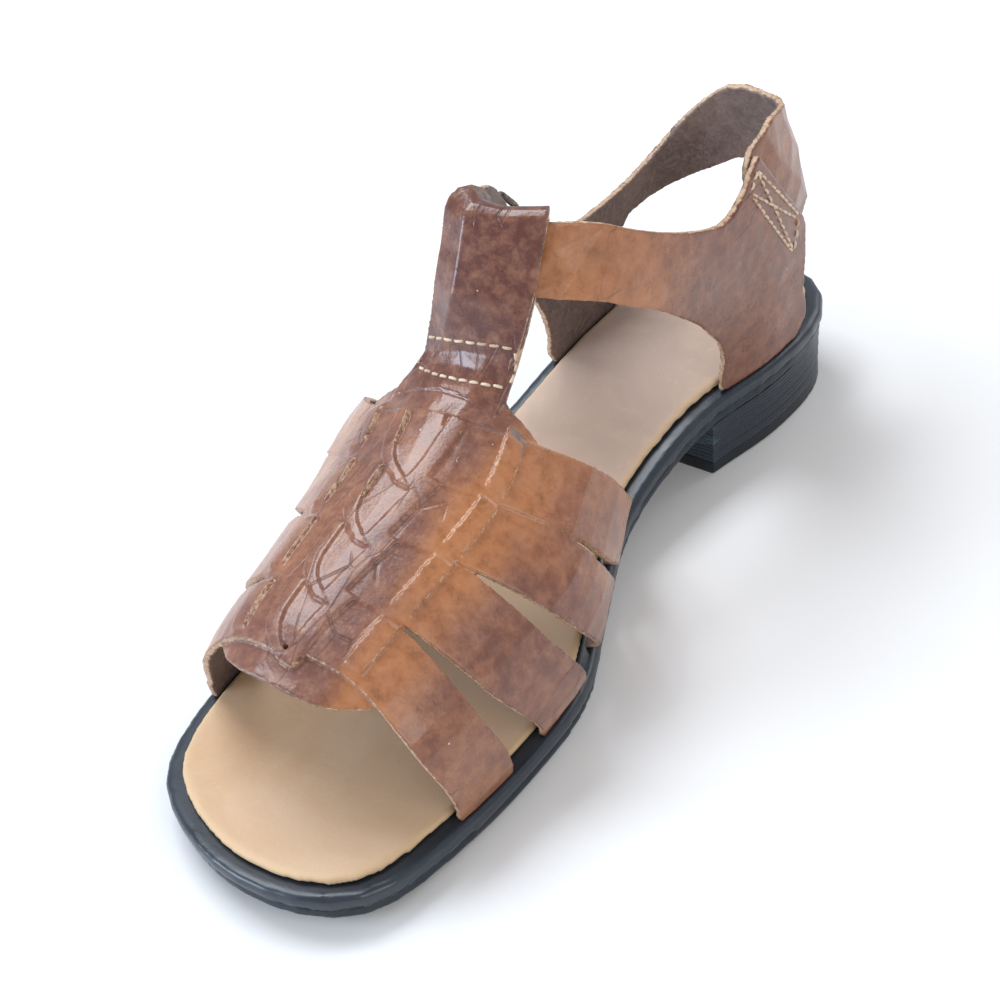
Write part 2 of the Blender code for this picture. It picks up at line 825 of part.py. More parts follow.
def t_strap_meshes():
    """The strap that rises from the throat, and its outer layer, which folds forward
    over the ankle strap and comes down to its stitched end at the throat."""
    throat = SHOE_LENGTH * PLUG[0][0]
    centre = last_point(throat, 0.5).x
    over = 0.5 * PLUG_THICKNESS + T_STRAP_BASE
    inside = -0.5 * PLUG_THICKNESS - LOOP_PLAY
    outside = QUARTER_THICKNESS + 0.5 * PLUG_THICKNESS + LOOP_PLAY
    touch = PLUG_THICKNESS - T_FLAP_SEAT
    columns = 5
    risers, flaps = [], []
    for j in range(columns):
        side = 2.0 * j / (columns - 1) - 1.0
        low_x = centre + 0.5 * T_STRAP_WIDTH * side
        top_x = centre + T_STRAP_SIDE_LEAN + 0.5 * T_STRAP_TOP_WIDTH * side
        away = T_LOOP_FLARE * max(-side, 0.0)
        spots = [
            on_vamp(low_x, throat - T_STRAP_TUCK, over),
            on_vamp(low_x, throat, over),
            *(on_ankle(top_x, up, inside - away)[0] for up in T_STRAP_HEIGHTS),
        ]
        riser = [Vector(p) for p in open_spline([tuple(p) for p in spots], 3)]
        top, out = on_ankle(top_x, T_STRAP_HEIGHTS[-1], 0.5 * (inside + outside))
        rising = (riser[-1] - riser[-3]).normalized()
        radius = 0.5 * (outside - inside) + away
        back = out * T_FOLD_STEP
        start = [p - back for p in riser[-4:]]
        fold = [
            top - back + rising * radius * math.sin(math.pi * i / 6)
            - out * radius * math.cos(math.pi * i / 6)
            for i in range(1, 6)
        ]
        fall = [on_ankle(top_x, up, outside + away)[0] - back for up in T_STRAP_HEIGHTS[::-1]]
        for i in T_FLAP_ROWS:
            along = (riser[i + 1] - riser[i - 1]).normalized()
            facing = Vector((0.0, -along.z, along.y)).normalized()
            fall.append(riser[i] + facing * touch)
        falling = [Vector(p) for p in open_spline([tuple(p) for p in fall], 2)]
        risers.append(riser)
        flaps.append(start + fold + falling)
    trimmed = []
    for j, column in enumerate(flaps):
        if j in (0, columns - 1):
            inner = flaps[1 if j == 0 else columns - 2]
            column = [a.lerp(b, 0.05) for a, b in zip(column, inner)]
        trimmed.append(column)
    return [
        thick_sheet("riser", list(zip(*risers)), PLUG_THICKNESS),
        thick_sheet("flap", list(zip(*trimmed)), PLUG_THICKNESS),
    ]


def joined(name, meshes, finish):
    """The union of several closed meshes as one object."""
    whole = new_object(name, meshes[0], finish)
    for i, mesh in enumerate(meshes[1:]):
        tool = new_object(f"{name}_join_{i}", mesh, finish)
        tool.hide_render = True
        tool.display_type = "WIRE"
        union = whole.modifiers.new(f"join_{i}", "BOOLEAN")
        union.operation = "UNION"
        union.solver = "MANIFOLD"
        union.object = tool
    return whole


def make_vamp(finish):
    """The woven front of the upper, one wall with its straps, bars and braid raised."""
    meshes = [plug_mesh(), *t_strap_meshes()]
    for i, row in enumerate(STRAPS):
        for inner in (True, False):
            side = "inner" if inner else "outer"
            end = STRAP_PLACES[0] - STRAP_STAGGER * ((i + inner) % 2)
            meshes.append(strap_mesh(f"strap_{side}_{i}", row, inner, end))
            meshes.append(bar_mesh(f"bar_{side}_{i}", row, inner))
    meshes += braid_meshes()
    return joined("vamp", meshes, finish)


def ankle_power(ahead, aside):
    return ANKLE_SLANT if ahead > 0.0 and aside < 0.0 else ANKLE_SQUARENESS


def ankle_level(around, share):
    """How far the level section at a share of the height reaches from the axis."""
    turn = math.radians(around)
    ahead, aside = math.cos(turn), math.sin(turn)
    reach = SHOE_LENGTH * table_value(ANKLE_SECTIONS, share, 1 if ahead > 0.0 else 2)
    width = ANKLE_WIDTH * table_value(ANKLE_SECTIONS, share, 3 if aside > 0.0 else 4)
    power = ankle_power(ahead, aside)
    level = (abs(ahead / reach) ** power + abs(aside / width) ** power) ** (-1.0 / power)
    middle, run, rise = ANKLE_FLAT
    away = min(abs(around - middle) / run, 1.0)
    return level + rise * (1.0 - away ** 2) ** 2 * smooth(share / 0.7)


def feather_reach(around):
    """How far the feather edge lies from the ankle's axis in one direction."""
    turn = math.radians(around)
    way = Vector((math.sin(turn), -math.cos(turn)))
    axis = Vector(ANKLE_AXIS)
    best = 0.0
    for a, b in zip(FEATHER, FEATHER[1:] + FEATHER[:1]):
        crossing = geometry.intersect_line_line_2d(axis, axis + way * 0.3, a, b)
        if crossing:
            best = max(best, (crossing - axis).length)
    return best


def ankle_point(around, up):
    """A point of the ankle last.  around in degrees from the front, up above the seat."""
    share = up / ANKLE_HEIGHT
    turn = math.radians(around)
    reach = ankle_level(around, share)
    if share < ANKLE_BLEND:
        key = round(around, 2)
        if key not in REACHES:
            REACHES[key] = feather_reach(key)
        reach += (REACHES[key] - ankle_level(around, 0.0)) * (1.0 - smooth(share / ANKLE_BLEND))
    return Vector((
        ANKLE_AXIS[0] + reach * math.sin(turn),
        ANKLE_AXIS[1] - reach * math.cos(turn),
        SEAT_HEIGHT + CLEARANCE + up,
    ))


REACHES = {}


def ankle_normal(around, up):
    return -surface_normal(ankle_point, around, up, 1.0, 0.001)


def pattern(name, top, bottom, lift, thickness):
    """A closed sheet cut to a pattern, laid over the ankle last.

    top and bottom are tables of (degrees round, share of the height); together they
    run once round the pattern.  Rows at height 0 stand on the sole.
    """
    scale = math.radians(1.0) * 0.5 * ANKLE_WIDTH * 1.4
    corners = [(around * scale, up * ANKLE_HEIGHT) for around, up in top + bottom]
    sides = (
        open_spline(corners[:len(top)], 8),
        open_spline(corners[len(top):], 8),
    )
    floor = [i for i, (around, up) in enumerate(bottom) if up == 0.0]
    loop = []
    for side in sides:
        length = sum((Vector(b) - Vector(a)).length for a, b in zip(side, side[1:]))
        loop += resampled(side, max(int(length / PATTERN_STEP), 4), closed=False)
    low, high = corners[len(top) + floor[0]], corners[len(top) + floor[1]]
    for point in loop:
        between = min(low[0], high[0]) - 1e-4 <= point.x <= max(low[0], high[0]) + 1e-4
        if point.y < 0.0015 and between or point.y < 0.0:
            point.y = 0.0
    points, faces, count = filled_loop(loop, 1.5 * PATTERN_STEP)
    bm = bmesh.new()
    layers = []
    for rise in (0.0, thickness):
        layer = []
        for point in points:
            around, up = point.x / scale, point.y
            normal = ankle_normal(around, up)
            spot = ankle_point(around, up) + normal * (lift(around, up) + rise)
            if up == 0.0:
                spot.z = sole_top(spot.y) + CLEARANCE
            layer.append(bm.verts.new(spot))
        layers.append(layer)
    for face in faces:
        bm.faces.new([layers[0][i] for i in face])
        bm.faces.new([layers[1][i] for i in reversed(face)])
    for i in range(count):
        j = (i + 1) % count
        bm.faces.new((layers[0][i], layers[0][j], layers[1][j], layers[1][i]))
    return finished_mesh(name, bm)


def off_ankle(around, up, lift):
    """A point at a distance from the ankle last; up is a share of its height."""
    up *= ANKLE_HEIGHT
    return ankle_point(around, up) + ankle_normal(around, up) * lift


def buckle_frame_axes():
    """The middle of the buckle's rear bar, and its directions forward, across and out."""
    top = off_ankle(*OUTER_QUARTER_TOP[0], 0.5 * QUARTER_THICKNESS)
    bottom = off_ankle(*OUTER_QUARTER_BOTTOM[-1], 0.5 * QUARTER_THICKNESS)
    across = (top - bottom).normalized()
    turn = 0.5 * (OUTER_QUARTER_TOP[0][0] + OUTER_QUARTER_BOTTOM[-1][0])
    up = 0.5 * (OUTER_QUARTER_TOP[0][1] + OUTER_QUARTER_BOTTOM[-1][1]) * ANKLE_HEIGHT
    forward = ankle_normal(turn, up).cross(across).normalized()
    if forward.y > 0.0:
        forward = -forward
    out = forward.cross(across)
    if out.x > 0.0:
        out = -out
    rear = 0.5 * (top + bottom) + forward * (BUCKLE_WIRE + CLEARANCE + 0.5 * HINGE_WALL)
    return rear, forward, across, out


def wire_mesh(name, path, radius, flat, closed, sides=8):
    """A round wire along a path that lies in a plane with the given normal."""
    bm = bmesh.new()
    rings = []
    count = len(path)
    for i, point in enumerate(path):
        before = path[i - 1] if closed or i else point
        after = path[(i + 1) % count] if closed or i < count - 1 else point
        beside = (after - before).normalized().cross(flat)
        rings.append([
            bm.verts.new(point + radius * (
                beside * math.cos(2.0 * math.pi * k / sides)
                + flat * math.sin(2.0 * math.pi * k / sides)))
            for k in range(sides)
        ])
    for i in range(count if closed else count - 1):
        ring, following = rings[i], rings[(i + 1) % count]
        for k in range(sides):
            m = (k + 1) % sides
            bm.faces.new((ring[k], ring[m], following[m], following[k]))
    if not closed:
        bm.faces.new(rings[0])
        bm.faces.new(rings[-1][::-1])
    return finished_mesh(name, bm)


def hinge_mesh(name, start, end):
    """A short tube of leather round the buckle's rear bar, closed on itself."""
    rear, forward, across, out = buckle_frame_axes()
    sides = 12
    bm = bmesh.new()
    rings = []
    for place in (start, end):
        for radius in (BUCKLE_WIRE + CLEARANCE, BUCKLE_WIRE + CLEARANCE + HINGE_WALL):
            rings.append([
                bm.verts.new(rear + across * place + radius * (
                    forward * math.cos(2.0 * math.pi * (k + 0.5) / sides)
                    + out * math.sin(2.0 * math.pi * (k + 0.5) / sides)))
                for k in range(sides)
            ])
    for a, b in ((0, 1), (1, 3), (3, 2), (2, 0)):
        for k in range(sides):
            m = (k + 1) % sides
            bm.faces.new((rings[a][k], rings[a][m], rings[b][m], rings[b][k]))
    return finished_mesh(name, bm)


def make_buckle_frame(finish):
    rear, forward, across, out = buckle_frame_axes()
    half, corner = 0.5 * BUCKLE_WIDTH, BUCKLE_CORNER
    corners = (
        (corner, half - corner, 180.0, 90.0),
        (BUCKLE_LENGTH - corner, half - corner, 90.0, 0.0),
        (BUCKLE_LENGTH - corner, corner - half, 0.0, -90.0),
        (corner, corner - half, -90.0, -180.0),
    )
    path = []
    for ahead, aside, start, end in corners:
        for step in range(5):
            turn = math.radians(start + (end - start) * step / 4)
            reach = ahead + corner * math.cos(turn)
            path.append(
                rear + forward * reach + across * (aside + corner * math.sin(turn))
                + out * BUCKLE_TILT * reach / BUCKLE_LENGTH)
    slant = (forward * BUCKLE_LENGTH + out * BUCKLE_TILT).normalized()
    mesh = wire_mesh("frame", path, BUCKLE_WIRE, slant.cross(across), True)
    return new_object("buckle_frame", mesh, finish)


def make_buckle_prong(finish):
    rear, forward, across, out = buckle_frame_axes()
    root = BUCKLE_WIRE + CLEARANCE
    rest = BUCKLE_TILT + BUCKLE_WIRE + CLEARANCE + PRONG_WIRE
    spots = (
        (root, 0.0),
        (0.30 * BUCKLE_LENGTH, 0.15 * rest),
        (0.65 * BUCKLE_LENGTH, 0.72 * rest),
        (0.90 * BUCKLE_LENGTH, rest),
        (BUCKLE_LENGTH + 0.0018, rest),
    )
    path = [
        rear + forward * ahead + out * rise for ahead, rise in open_spline(spots, 3)
    ]
    return new_object("buckle_prong", wire_mesh("prong", path, PRONG_WIRE, across, False), finish)


def slot_mesh():
    """Cutter for the hole that the prong passes in the end of the ankle strap."""
    rear, forward, across, out = buckle_frame_axes()
    bm = bmesh.new()
    bmesh.ops.create_cube(bm, size=1.0)
    middle, length, height = 0.44 * BUCKLE_LENGTH, 0.50 * BUCKLE_LENGTH, 0.016
    for vert in bm.verts:
        ahead = middle + length * vert.co.x
        vert.co = (
            rear + forward * ahead + across * 2.0 * PRONG_SLOT * vert.co.y
            + out * height * vert.co.z)
    return finished_mesh("slot", bm)


def make_inner_quarter(finish):
    """The inner side's leg and the ankle strap, which runs through the fold of the
    T strap to the buckle and ends in a tip over the outer quarter's arm."""
    rear, forward, across, out = buckle_frame_axes()
    over_hinge = 0.5 * QUARTER_THICKNESS + BUCKLE_WIRE + HINGE_WALL + 2.0 * CLEARANCE + 0.0002
    over_arm = QUARTER_THICKNESS + CLEARANCE + 0.0005

    def lift(around, up):
        if around > 0.0 or up == 0.0:
            return 0.0
        ahead = (ankle_point(around, up) - rear).dot(forward)
        if ahead > 0.0:
            reach = BUCKLE_LENGTH - BUCKLE_WIRE
            return over_hinge * smooth((reach - ahead) / reach)
        return over_arm + (over_hinge - over_arm) * smooth((0.0095 + ahead) / 0.0070)

    mesh = pattern("inner", INNER_QUARTER_TOP, INNER_QUARTER_BOTTOM, lift, QUARTER_THICKNESS)
    made = new_object("quarter_inner", mesh, finish)
    tool = new_object("prong_slot", slot_mesh(), finish)
    tool.hide_render = True
    tool.display_type = "WIRE"
    cut = made.modifiers.new("prong_slot", "BOOLEAN")
    cut.operation = "DIFFERENCE"
    cut.solver = "EXACT"
    cut.object = tool
    return made


def make_outer_quarter(finish):
    """The outer side's leg, its arm folded round the buckle and the band round the heel."""
    (turn_a, up_a), (turn_b, up_b) = INNER_END

    def lift(around, up):
        end = turn_a + (turn_b - turn_a) * (up / ANKLE_HEIGHT - up_a) / (up_b - up_a)
        under = smooth((end + 1.0 + UNDERLAP_RUN - around) / UNDERLAP_RUN)
        return -(QUARTER_THICKNESS + CLEARANCE + 0.0002) * under

    sheet = pattern("outer", OUTER_QUARTER_TOP, OUTER_QUARTER_BOTTOM, lift, QUARTER_THICKNESS)
    gap = PRONG_WIRE + 2.0 * CLEARANCE
    hinges = [hinge_mesh("hinge_0", gap, HINGE_REACH), hinge_mesh("hinge_1", -HINGE_REACH, -gap)]
    return joined("quarter_outer", [sheet, *hinges], finish)


def main():
    for old in list(bpy.data.objects):
        bpy.data.objects.remove(old)
    rubber = material("black_sole", (0.012, 0.022, 0.035), 0.45)
    heel_finish = material("stacked_heel", (0.010, 0.020, 0.034), 0.50)
    insole_leather = material("insole_leather", (0.62, 0.38, 0.20), 0.65)
    brown = material("brown_leather", (0.27, 0.085, 0.028), 0.38)
    new_object("outsole", make_outsole(), rubber)
    new_object("midsole", make_midsole(), rubber)
    new_object("insole", make_insole(), insole_leather)
    new_object("heel_block", make_heel_block(), heel_finish)
    new_object("heel_top_piece", make_heel_top_piece(), rubber)
    make_vamp(brown)
    make_inner_quarter(brown)
    make_outer_quarter(brown)
    nickel = material("buckle_metal", (0.30, 0.29, 0.27), 0.35, 1.0)
    make_buckle_frame(nickel)
    make_buckle_prong(nickel)


main()
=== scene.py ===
"""Looks of the strappy sandal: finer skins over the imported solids, stitching, materials,
a pale floor, soft light and the camera."""

import math
import random

import bmesh
import bpy
import numpy as np
from mathutils import Matrix, Vector, noise
from mathutils.bvhtree import BVHTree


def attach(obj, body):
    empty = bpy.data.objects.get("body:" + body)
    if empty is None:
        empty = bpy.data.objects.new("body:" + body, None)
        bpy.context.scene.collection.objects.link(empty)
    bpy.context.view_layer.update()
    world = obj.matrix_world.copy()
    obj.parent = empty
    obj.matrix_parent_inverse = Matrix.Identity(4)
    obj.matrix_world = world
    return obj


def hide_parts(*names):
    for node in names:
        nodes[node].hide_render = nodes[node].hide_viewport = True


# Camera of the photograph
EYE = Vector((0.3336, -0.3680, 0.4399))
AHEAD = Vector((-0.3925, 0.5835, -0.7110))
RIGHT = Vector((0.8609, 0.5051, -0.0606))
DOWN = Vector((0.3238, -0.6359, -0.7006))
FOCAL = 1600.0               # pixels of the 1000 pixel frame
FRAME_MIDDLE = (297.0, 362.0)   # pixel that the one shoe is centred on
CAMERA_LENS = 87.0           # mm on a 36 mm sensor

# Sizes in metres
VAMP_VOXEL = 0.00044
QUARTER_VOXEL = 0.00052
MOST_TRIANGLES = 185000
SOLE_VOXEL = 0.00095
WALL_LIMIT = 0.0042          # a ray longer than this inside the leather starts at a cut edge
WEAVE_LIMIT = 0.0056
WELD_DISTANCE = 0.00001
RAY_START = 0.0004           # how deep below the skin the wall is measured from
RAY_REACH = 0.03
WEAVE_FLOOR = 0.048          # the weave is thicker above this height
WEAVE_BACK = -0.012          # and in front of this place along the shoe
T_STRAP_FRONT = -0.022       # where the T strap starts along the shoe
T_STRAP_FOOT = 0.070         # height of its lower end
FOOT_AXIS = (0.002, 0.020)   # across and up, inside the front of the shoe
ANKLE_MIDDLE = (0.001, 0.062)   # across and along, inside the quarters
FLOOR_SIZE = 2.5
STITCH_LENGTH = 0.0026
STITCH_GAP = 0.0007
THREAD_RADIUS = 0.00042
STITCH_JOG = 0.00015         # how far a stitch strays to the side
STITCH_RINGS = 7
STITCH_SIDES = 8
STITCH_RAYS = 24             # rays between two points of a row

# Colours, linear
TAN = (0.400, 0.150, 0.052)
UMBER = (0.165, 0.053, 0.026)
PLUM = (0.180, 0.068, 0.046)
RED_BROWN = (0.105, 0.030, 0.022)
# dark of the pores, and the painted shade in the crease lines
PORE_DARK_AND_CREASE_SHADE = (0.050, 0.018, 0.012)
RAW_EDGE = (0.62, 0.43, 0.28)
SUEDE = (0.215, 0.150, 0.125)
SUEDE_DARK = (0.095, 0.066, 0.060)
CREAM = (0.74, 0.60, 0.45)

# Rows of stitches by the pixels of the photograph that they cross: piece, points
STITCH_ROWS = (
    ("vamp", ((247, 251), (266, 254), (288, 257), (305, 260))),
    ("vamp", ((246, 252), (243, 262), (240, 270))),
    ("vamp", ((241, 272), (252, 277), (270, 281), (286, 284), (299, 286))),
    ("vamp", ((306, 262), (307, 272), (303, 284))),
    ("quarter_inner", ((468, 141), (482, 156), (495, 171))),
    ("quarter_inner", ((495, 173), (494, 184), (492, 195))),
    ("quarter_inner", ((491, 196), (478, 178), (465, 159))),
    ("quarter_inner", ((464, 155), (466, 147), (468, 141))),
    ("quarter_inner", ((468, 142), (480, 168), (491, 194))),
    ("quarter_inner", ((465, 157), (479, 165), (493, 173))),
)


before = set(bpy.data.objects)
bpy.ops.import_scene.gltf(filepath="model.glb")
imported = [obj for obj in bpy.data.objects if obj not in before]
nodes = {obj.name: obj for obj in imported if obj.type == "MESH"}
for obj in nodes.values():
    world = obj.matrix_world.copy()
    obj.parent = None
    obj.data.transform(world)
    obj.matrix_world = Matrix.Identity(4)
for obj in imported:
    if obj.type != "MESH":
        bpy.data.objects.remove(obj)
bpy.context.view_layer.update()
random.seed(7)


def smooth_array(value):
    value = np.clip(value, 0.0, 1.0)
    return value * value * (3.0 - 2.0 * value)


def add_object(name, mesh):
    made = bpy.data.objects.new(name, mesh)
    bpy.context.scene.collection.objects.link(made)
    return made


# Material helpers
class Graph:
    """Adds nodes to a tree by type, with their inputs by name or number."""

    def __init__(self, tree):
        self.tree = tree

    def add(self, kind, inputs=(), **settings):
        made = self.tree.nodes.new(kind)
        for key, value in settings.items():
            setattr(made, key, value)
        for key, value in dict(inputs).items():
            socket = made.inputs[key]
            if isinstance(value, bpy.types.NodeSocket):
                self.tree.links.new(value, socket)
            elif socket.type == "RGBA" and len(value) == 3:
                socket.default_value = (*value, 1.0)
            else:
                socket.default_value = value
        return made

    def noise(self, place, scale, detail=3.0, rough=0.55, warp=0.0):
        return self.add("ShaderNodeTexNoise", {
            "Vector": place, "Scale": scale, "Detail": detail, "Roughness": rough,
            "Distortion": warp,
        }).outputs["Fac"]

    def cells(self, place, scale, feature="F1"):
        return self.add("ShaderNodeTexVoronoi", {"Vector": place, "Scale": scale},
                        feature=feature).outputs["Distance"]

    def ramp(self, value, low, high, bottom=0.0, top=1.0):
        return self.add("ShaderNodeMapRange", {
            "Value": value, "From Min": low, "From Max": high, "To Min": bottom,
            "To Max": top,
        }, interpolation_type="SMOOTHSTEP").outputs["Result"]

    def math(self, operation, a, b=0.0, c=0.0):
        return self.add("ShaderNodeMath", {0: a, 1: b, 2: c}, operation=operation).outputs[0]

    def mix(self, share, a, b, blend="MIX"):
        made = self.add("ShaderNodeMix", data_type="RGBA", blend_type=blend)
        pairs = ((made.inputs[0], share), (made.inputs[6], a), (made.inputs[7], b))
        for socket, value in pairs:
            if isinstance(value, bpy.types.NodeSocket):
                self.tree.links.new(value, socket)
            elif socket.type == "RGBA":
                socket.default_value = (*value, 1.0)
            else:
                socket.default_value = value
        return made.outputs[2]

    def stretched(self, place, scale):
        return self.add("ShaderNodeMapping", {"Vector": place, "Scale": scale}).outputs[0]

    def attribute(self, name):
        return self.add("ShaderNodeAttribute", attribute_name=name).outputs["Fac"]

    def bump(self, height, depth, strength=1.0, below=None):
        inputs = {"Height": height, "Distance": depth, "Strength": strength}
        if below is not None:
            inputs["Normal"] = below
        return self.add("ShaderNodeBump", inputs).outputs["Normal"]


def group(name, inputs, outputs):
    """A named node group, with its graph and its input and output nodes."""
    tree = bpy.data.node_groups.new(name, "ShaderNodeTree")
    for label, kind, value in inputs:
        socket = tree.interface.new_socket(label, in_out="INPUT", socket_type=kind)
        if value is not None:
            socket.default_value = (*value, 1.0) if kind == "NodeSocketColor" else value
    for label, kind in outputs:
        tree.interface.new_socket(label, in_out="OUTPUT", socket_type=kind)
    graph = Graph(tree)
    return tree, graph, graph.add("NodeGroupInput").outputs, graph.add("NodeGroupOutput").inputs


def new_material(name):
    material = bpy.data.materials.new(name)
    material.use_nodes = True
    material.node_tree.nodes.clear()
    graph = Graph(material.node_tree)
    shader = graph.add("ShaderNodeBsdfPrincipled")
    output = graph.add("ShaderNodeOutputMaterial")
    material.node_tree.links.new(shader.outputs[0], output.inputs["Surface"])
    place = graph.add("ShaderNodeTexCoord").outputs["Object"]
    return material, graph, shader, place


def connect(material, pairs):
    for source, socket in pairs:
        material.node_tree.links.new(source, socket)


def leather_group():
    """Waxed leather with its tones, creases, cut edges and suede inner face."""
    tree, g, given, result = group(
        "Waxed leather",
        (
            ("Place", "NodeSocketVector", None),
            ("Light", "NodeSocketColor", TAN),
            ("Dark", "NodeSocketColor", UMBER),
            ("Red", "NodeSocketColor", RED_BROWN),
        ),
        (("Colour", "NodeSocketColor"), ("Roughness", "NodeSocketFloat"),
         ("Normal", "NodeSocketVector")),
    )
    place = given["Place"]
    clouds = g.noise(place, 34.0, 4.0, 0.62, 0.4)
    drift = g.noise(place, 11.0, 2.0)
    tone = g.math("ADD", g.attribute("tone"), g.ramp(clouds, 0.30, 0.75, -0.24, 0.24))
    tone = g.math("ADD", tone, g.ramp(drift, 0.35, 0.65, -0.08, 0.08))
    tone = g.ramp(tone, 0.0, 1.0)
    colour = g.mix(tone, given["Light"], given["Dark"])
    colour = g.mix(g.attribute("red"), colour, given["Red"])
    # pulled-up wax: paler where the leather is bent, darker in its pores
    fine = g.noise(place, 240.0, 5.0, 0.7, 0.2)
    colour = g.mix(g.ramp(fine, 0.42, 0.75, 0.0, 0.28), colour, (0.60, 0.30, 0.16))
    colour = g.mix(g.ramp(fine, 0.50, 0.25, 0.0, 0.40), colour, PORE_DARK_AND_CREASE_SHADE)
    # thin crease lines, darkened with painted shade in the crease and dented by the bump below
    creases = g.cells(g.stretched(place, (1.0, 0.34, 0.60)), 150.0, "DISTANCE_TO_EDGE")
    crease_zone = g.ramp(g.noise(place, 28.0, 2.0), 0.54, 0.66)
    crease = g.math("MULTIPLY", g.ramp(creases, 0.045, 0.0), crease_zone)
    colour = g.mix(g.math("MULTIPLY", crease, 0.42), colour, PORE_DARK_AND_CREASE_SHADE)
    scratches = g.noise(g.stretched(place, (60.0, 420.0, 130.0)), 1.0, 3.0, 0.7)
    scratches = g.ramp(scratches, 0.70, 0.80)
    colour = g.mix(g.math("MULTIPLY", scratches, 0.30), colour, (0.66, 0.42, 0.27))
    specks = g.ramp(g.cells(place, 170.0), 0.055, 0.030)
    sparse = g.ramp(g.noise(place, 46.0, 1.0), 0.57, 0.60)
    specks = g.math("MULTIPLY", specks, sparse)
    colour = g.mix(g.math("MULTIPLY", specks, 0.75), colour, (0.78, 0.70, 0.62))
    # suede inner face
    fibres = g.noise(place, 620.0, 4.0, 0.75, 0.6)
    suede = g.mix(g.ramp(fibres, 0.35, 0.7), SUEDE_DARK, SUEDE)
    suede = g.mix(g.ramp(clouds, 0.35, 0.7, 0.0, 0.45), suede, (0.300, 0.200, 0.165))
    colour = g.mix(g.attribute("inner"), colour, suede)
    # pale cut edges with their fibres
    frayed = g.math("ADD", g.attribute("edge"), g.ramp(fibres, 0.3, 0.7, -0.28, 0.28))
    frayed = g.ramp(frayed, 0.38, 0.72)
    raw = g.mix(g.ramp(fibres, 0.3, 0.7), (0.36, 0.22, 0.13), RAW_EDGE)
    colour = g.mix(frayed, colour, raw)
    dull = g.math("MAXIMUM", g.attribute("inner"), frayed)
    rough = g.ramp(clouds, 0.25, 0.8, 0.24, 0.40)
    rough = g.math("SUBTRACT", rough, g.math("MULTIPLY", g.attribute("red"), 0.05))
    rough = g.math("ADD", rough, g.ramp(fine, 0.3, 0.7, -0.04, 0.06))
    rough = g.math("ADD", rough, g.math("MULTIPLY", dull, 0.50))
    pores = g.cells(place, 1250.0, "SMOOTH_F1")
    grain = g.math("ADD", g.math("MULTIPLY", pores, 0.55), g.math("MULTIPLY", fibres, 0.5))
    normal = g.bump(clouds, 0.0009, 0.35)
    normal = g.bump(crease, -0.00035, 0.8, normal)
    normal = g.bump(grain, 0.00016, 0.55, normal)
    for source, label in ((colour, "Colour"), (rough, "Roughness"), (normal, "Normal")):
        tree.links.new(source, result[label])
    return tree


def rubber_group():
    """Dark moulded rubber with ridges paler from wear and from a painted bluish highlight, and
    fine marks.
    """
    tree, g, given, result = group(
        "Sole rubber",
        (("Place", "NodeSocketVector", None), ("Base", "NodeSocketColor", (0.01, 0.018, 0.03)),
         ("Wear_and_highlight", "NodeSocketColor", (0.16, 0.26, 0.36))),
        (("Colour", "NodeSocketColor"), ("Roughness", "NodeSocketFloat"),
         ("Normal", "NodeSocketVector")),
    )
    place = given["Place"]
    clouds = g.noise(place, 60.0, 4.0, 0.6)
    fine = g.noise(place, 900.0, 3.0, 0.7)
    ridge = g.add("ShaderNodeNewGeometry").outputs["Pointiness"]
    # pale bluish ridges: partly wear, partly a painted highlight of the bluish window light
    wear_and_highlight = g.ramp(clouds, 0.30, 0.70, 0.15, 1.0)
    wear_and_highlight = g.math("MULTIPLY", g.ramp(ridge, 0.530, 0.600), wear_and_highlight)
    colour = g.mix(g.ramp(clouds, 0.3, 0.75, 0.0, 0.55), given["Base"], (0.016, 0.027, 0.040))
    colour = g.mix(g.math("MULTIPLY", wear_and_highlight, 0.45), colour, given["Wear_and_highlight"])
    dust = g.ramp(g.noise(place, 310.0, 5.0, 0.75), 0.62, 0.78, 0.0, 0.22)
    colour = g.mix(dust, colour, (0.20, 0.22, 0.24))
    rough = g.ramp(clouds, 0.3, 0.75, 0.30, 0.48)
    normal = g.bump(clouds, 0.0004, 0.3)
    normal = g.bump(fine, 0.00010, 0.5, normal)
    for source, label in ((colour, "Colour"), (rough, "Roughness"), (normal, "Normal")):
        tree.links.new(source, result[label])
    return tree


LEATHER = leather_group()
RUBBER = rubber_group()


def grouped_material(name, tree, values, specular=0.5, coat=0.0, extra=None):
    material, graph, shader, place = new_material(name)
    made = graph.add("ShaderNodeGroup", node_tree=tree)
    for label, value in values.items():
        made.inputs[label].default_value = (*value, 1.0)
    normal = made.outputs["Normal"]
    if extra:
        normal = extra(graph, place, normal)
    connect(material, (
        (place, made.inputs["Place"]),
        (made.outputs["Colour"], shader.inputs["Base Color"]),
        (made.outputs["Roughness"], shader.inputs["Roughness"]),
        (normal, shader.inputs["Normal"]),
    ))
    shader.inputs["Specular IOR Level"].default_value = specular
    shader.inputs["Coat Weight"].default_value = coat
    shader.inputs["Coat Roughness"].default_value = 0.28
    return material


def stacked_lines(graph, place, normal):
    """Fine level lines of a stacked heel."""
    split = graph.add("ShaderNodeSeparateXYZ", {"Vector": place}).outputs
    wander = graph.math("MULTIPLY", graph.noise(place, 70.0, 2.0), 0.0009)
    level = graph.math("MULTIPLY", graph.math("ADD", split["Z"], wander), 1.0 / 0.00125)
    wave = graph.math("PINGPONG", level, 0.5)
    return graph.bump(graph.ramp(wave, 0.0, 0.32), 0.00022, 0.9, normal)


